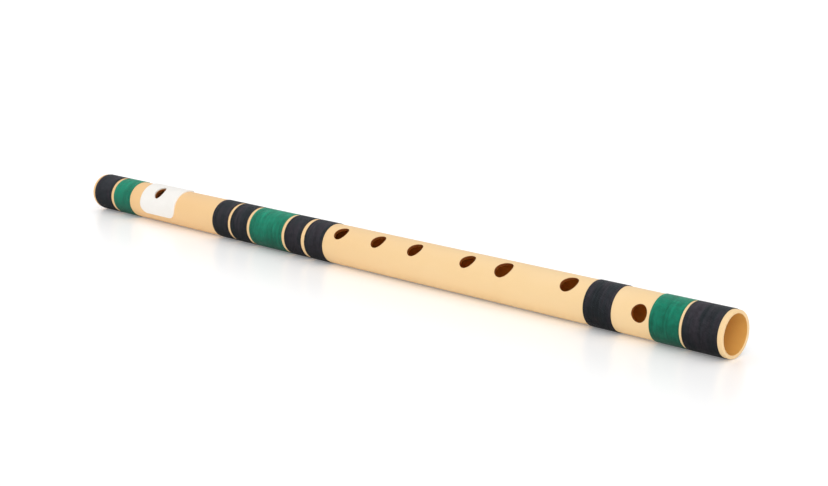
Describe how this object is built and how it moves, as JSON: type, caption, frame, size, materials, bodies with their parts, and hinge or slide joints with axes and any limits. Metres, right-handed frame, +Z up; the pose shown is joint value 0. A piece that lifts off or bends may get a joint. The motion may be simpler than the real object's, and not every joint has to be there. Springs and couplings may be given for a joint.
{
  "type": "bansuri flute",
  "caption": "Side-blown keyless flute of plastic pipe, with a curved lip plate round the blow hole, a row of finger holes, a vent hole, thread bindings and a sliding cork stopper.",
  "frame": {"origin": "on the surface it rests on, under the middle of the pipe's length", "axes": "+X along the pipe towards the foot end, +Z up, and the finger holes and vent hole are rolled from +Z towards -Y"},
  "size_m": [0.4858, 0.0234, 0.0234],
  "materials": {
    "cream_plastic": "satin",
    "white_plastic": "satin",
    "black_thread": "waxed thread",
    "green_thread": "waxed thread",
    "cork": "cork"
  },
  "bodies": {
    "flute": {"pipe": "cream_plastic", "lip_plate": "white_plastic", "binding_black_head": "black_thread", "binding_green_head": "green_thread", "binding_black_upper_1": "black_thread", "binding_black_upper_2": "black_thread", "binding_green_middle": "green_thread", "binding_black_lower_1": "black_thread", "binding_black_lower_2": "black_thread", "binding_black_vent": "black_thread", "binding_green_foot": "green_thread", "binding_black_foot": "black_thread"},
    "stopper": {"stopper_cork": "cork"}
  },
  "joints": [
    {"name": "stopper_slide", "type": "slide", "parent": "flute", "child": "stopper", "axis": [1, 0, 0], "range_m": [-0.01, 0.006]}
  ]
}
